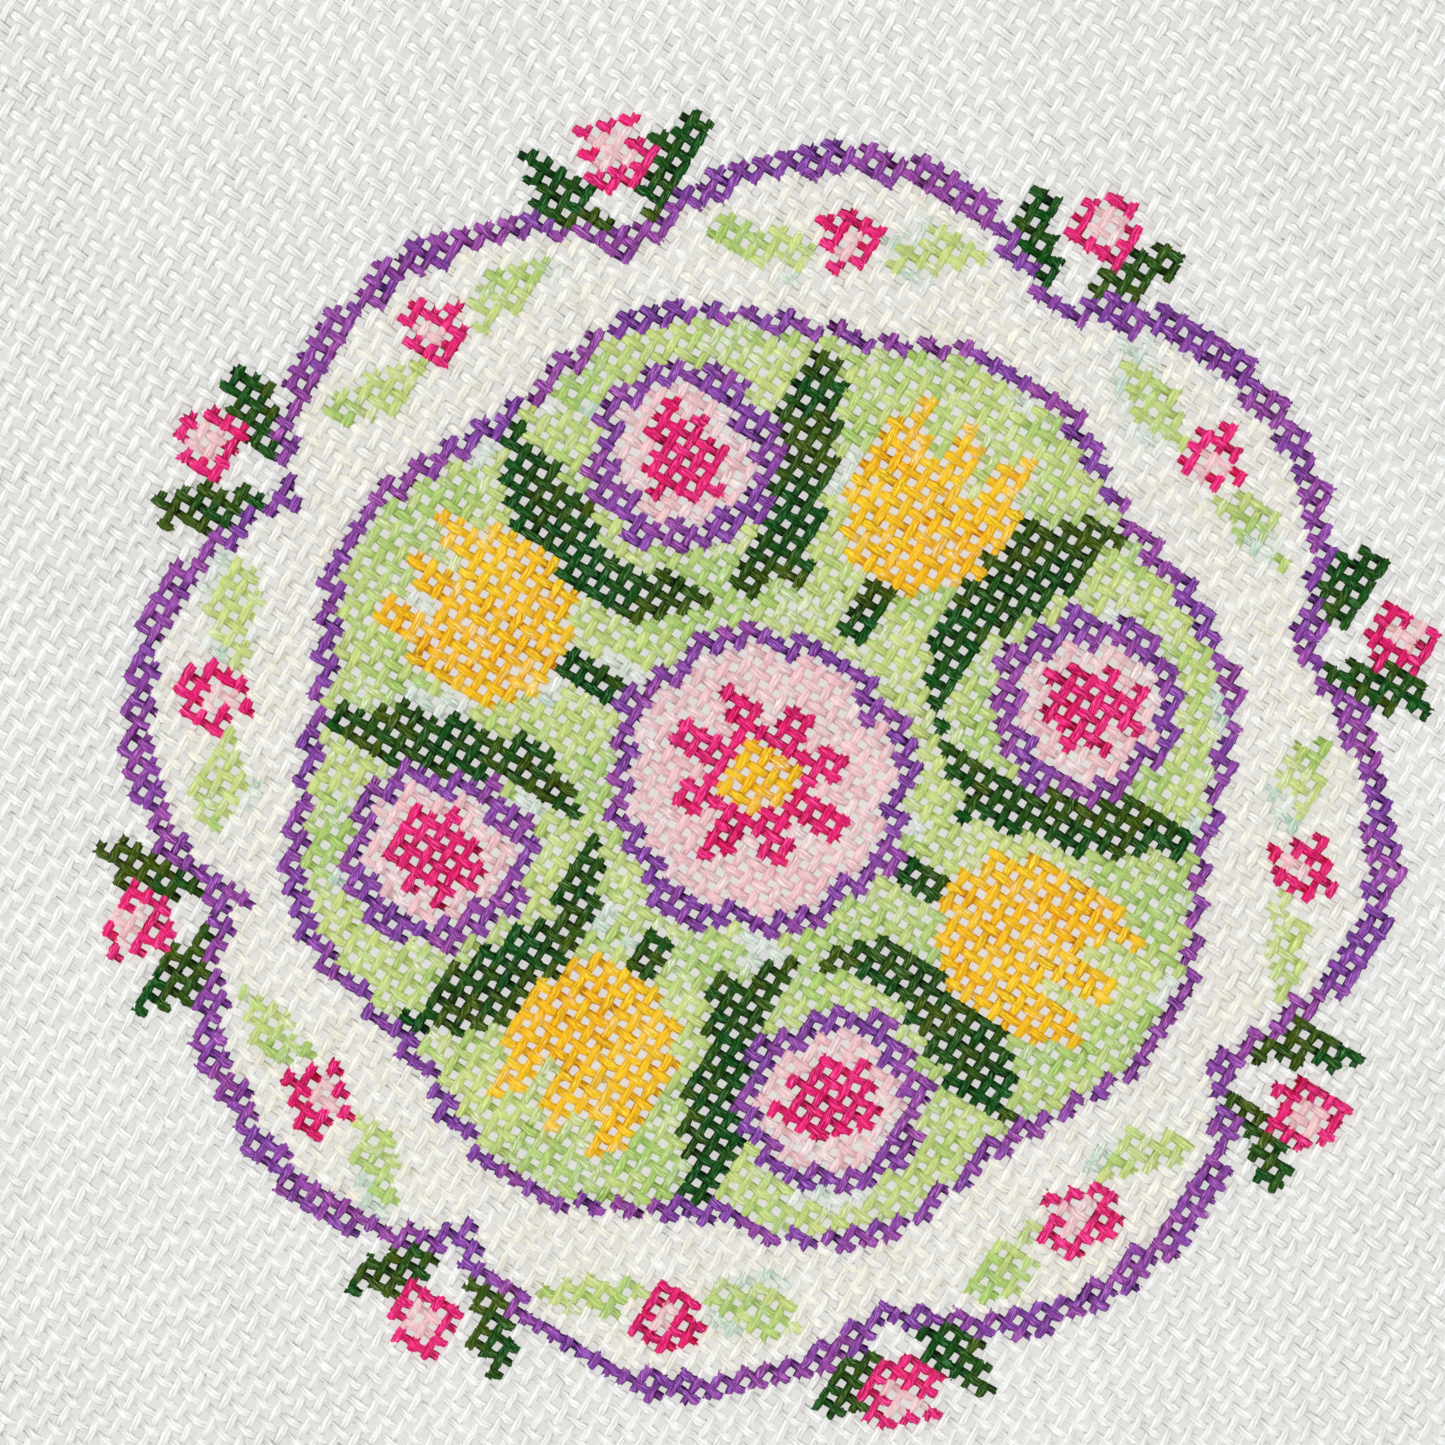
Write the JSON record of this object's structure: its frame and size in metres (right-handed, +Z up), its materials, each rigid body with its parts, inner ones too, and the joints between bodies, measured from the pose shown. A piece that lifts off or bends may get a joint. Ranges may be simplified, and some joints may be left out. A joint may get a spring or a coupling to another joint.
{
  "type": "needlepoint canvas panel",
  "caption": "Flat square of painted single-thread needlepoint canvas with plain margins and raw cut edges, to be stitched by hand, framed or sewn up.",
  "frame": {"origin": "middle of the underside, where the cloth lies on a surface", "axes": "+Z up, out of the painted face; +Y along the upright threads, towards the top of the design; +X along the level threads"},
  "size_m": [0.256, 0.2556, 0.0015],
  "materials": {
    "canvas": "matt sized cotton, hand painted in the middle"
  },
  "bodies": {
    "root": {"canvas_panel": "canvas"}
  },
  "joints": []
}
